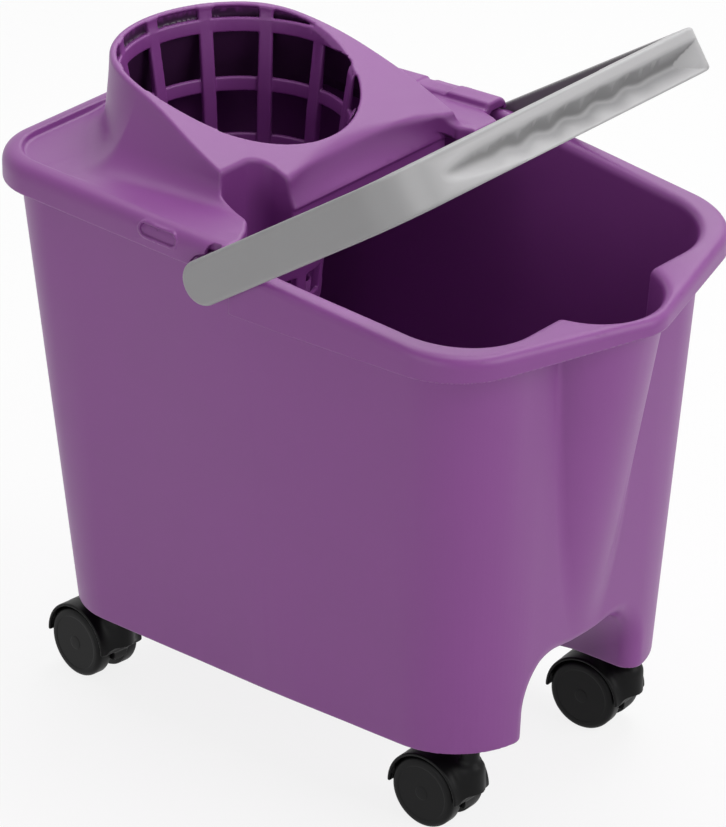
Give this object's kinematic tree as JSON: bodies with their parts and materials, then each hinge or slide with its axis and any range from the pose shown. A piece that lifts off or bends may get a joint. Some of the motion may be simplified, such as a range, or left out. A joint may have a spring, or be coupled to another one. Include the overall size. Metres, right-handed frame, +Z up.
{
  "type": "mop bucket with wringer",
  "caption": "Rolling mop bucket with a pouring spout, a lift-off wringer with a slotted basket and pole notch, a swinging bail handle and twin-wheel swivel casters.",
  "frame": {"origin": "on the floor under the middle of the bounding box", "axes": "+Z up, +X towards the pouring spout, -X towards the wringer, -Y the side with the pole notch"},
  "size_m": [0.3684, 0.2576, 0.3904],
  "materials": {
    "purple_plastic": "moulded polypropylene, satin, with a fine moulded grain",
    "grey_plastic": "moulded polypropylene, satin",
    "black_plastic": "moulded nylon, half gloss",
    "bright_steel": "zinc-plated steel"
  },
  "bodies": {
    "bucket": {"bucket": "purple_plastic", "front_left_caster_stem": "bright_steel", "front_left_caster_grip_ring": "bright_steel", "front_right_caster_stem": "bright_steel", "front_right_caster_grip_ring": "bright_steel", "rear_left_caster_stem": "bright_steel", "rear_left_caster_grip_ring": "bright_steel", "rear_right_caster_stem": "bright_steel", "rear_right_caster_grip_ring": "bright_steel"},
    "wringer": {"wringer": "purple_plastic"},
    "handle": {"handle": "grey_plastic"},
    "front_left_caster": {"front_left_caster_hood": "black_plastic", "front_left_caster_axle": "bright_steel"},
    "front_left_caster_wheel_left": {"front_left_caster_wheel_left": "black_plastic"},
    "front_left_caster_wheel_right": {"front_left_caster_wheel_right": "black_plastic"},
    "front_right_caster": {"front_right_caster_hood": "black_plastic", "front_right_caster_axle": "bright_steel"},
    "front_right_caster_wheel_left": {"front_right_caster_wheel_left": "black_plastic"},
    "front_right_caster_wheel_right": {"front_right_caster_wheel_right": "black_plastic"},
    "rear_left_caster": {"rear_left_caster_hood": "black_plastic", "rear_left_caster_axle": "bright_steel"},
    "rear_left_caster_wheel_left": {"rear_left_caster_wheel_left": "black_plastic"},
    "rear_left_caster_wheel_right": {"rear_left_caster_wheel_right": "black_plastic"},
    "rear_right_caster": {"rear_right_caster_hood": "black_plastic", "rear_right_caster_axle": "bright_steel"},
    "rear_right_caster_wheel_left": {"rear_right_caster_wheel_left": "black_plastic"},
    "rear_right_caster_wheel_right": {"rear_right_caster_wheel_right": "black_plastic"}
  },
  "joints": [
    {"name": "handle_pivot", "type": "hinge", "parent": "bucket", "child": "handle", "pos_m": [-0.011, 0, 0.298], "axis": [0, -1, 0], "range_deg": [-26, 45]},
    {"name": "wringer_lift", "type": "slide", "parent": "bucket", "child": "wringer", "axis": [0, 0, 1], "range_m": [0, 0.15]},
    {"name": "front_left_swivel", "type": "hinge", "parent": "bucket", "child": "front_left_caster", "pos_m": [0.1185, -0.068, 0.035], "axis": [0, 0, 1], "continuous": true},
    {"name": "front_left_caster_wheel_left_spin", "type": "hinge", "parent": "front_left_caster", "child": "front_left_caster_wheel_left", "pos_m": [0.09781, -0.06843, 0.02], "axis": [-0.0209, 0.9998, 0], "continuous": true},
    {"name": "front_left_caster_wheel_right_spin", "type": "hinge", "parent": "front_left_caster", "child": "front_left_caster_wheel_right", "pos_m": [0.09781, -0.06843, 0.02], "axis": [-0.0209, 0.9998, 0], "continuous": true},
    {"name": "front_right_swivel", "type": "hinge", "parent": "bucket", "child": "front_right_caster", "pos_m": [0.1185, 0.068, 0.035], "axis": [0, 0, 1], "continuous": true},
    {"name": "front_right_caster_wheel_left_spin", "type": "hinge", "parent": "front_right_caster", "child": "front_right_caster_wheel_left", "pos_m": [0.09789, 0.06602, 0.02], "axis": [-0.0958, 0.9954, 0], "continuous": true},
    {"name": "front_right_caster_wheel_right_spin", "type": "hinge", "parent": "front_right_caster", "child": "front_right_caster_wheel_right", "pos_m": [0.09789, 0.06602, 0.02], "axis": [-0.0958, 0.9954, 0], "continuous": true},
    {"name": "rear_left_swivel", "type": "hinge", "parent": "bucket", "child": "rear_left_caster", "pos_m": [-0.128, -0.068, 0.035], "axis": [0, 0, 1], "continuous": true},
    {"name": "rear_left_caster_wheel_left_spin", "type": "hinge", "parent": "rear_left_caster", "child": "rear_left_caster_wheel_left", "pos_m": [-0.14856, -0.06559, 0.02], "axis": [0.1167, 0.9932, 0], "continuous": true},
    {"name": "rear_left_caster_wheel_right_spin", "type": "hinge", "parent": "rear_left_caster", "child": "rear_left_caster_wheel_right", "pos_m": [-0.14856, -0.06559, 0.02], "axis": [0.1167, 0.9932, 0], "continuous": true},
    {"name": "rear_right_swivel", "type": "hinge", "parent": "bucket", "child": "rear_right_caster", "pos_m": [-0.128, 0.068, 0.035], "axis": [0, 0, 1], "continuous": true},
    {"name": "rear_right_caster_wheel_left_spin", "type": "hinge", "parent": "rear_right_caster", "child": "rear_right_caster_wheel_left", "pos_m": [-0.14865, 0.06944, 0.02], "axis": [0.0698, 0.9976, 0], "continuous": true},
    {"name": "rear_right_caster_wheel_right_spin", "type": "hinge", "parent": "rear_right_caster", "child": "rear_right_caster_wheel_right", "pos_m": [-0.14865, 0.06944, 0.02], "axis": [0.0698, 0.9976, 0], "continuous": true}
  ]
}
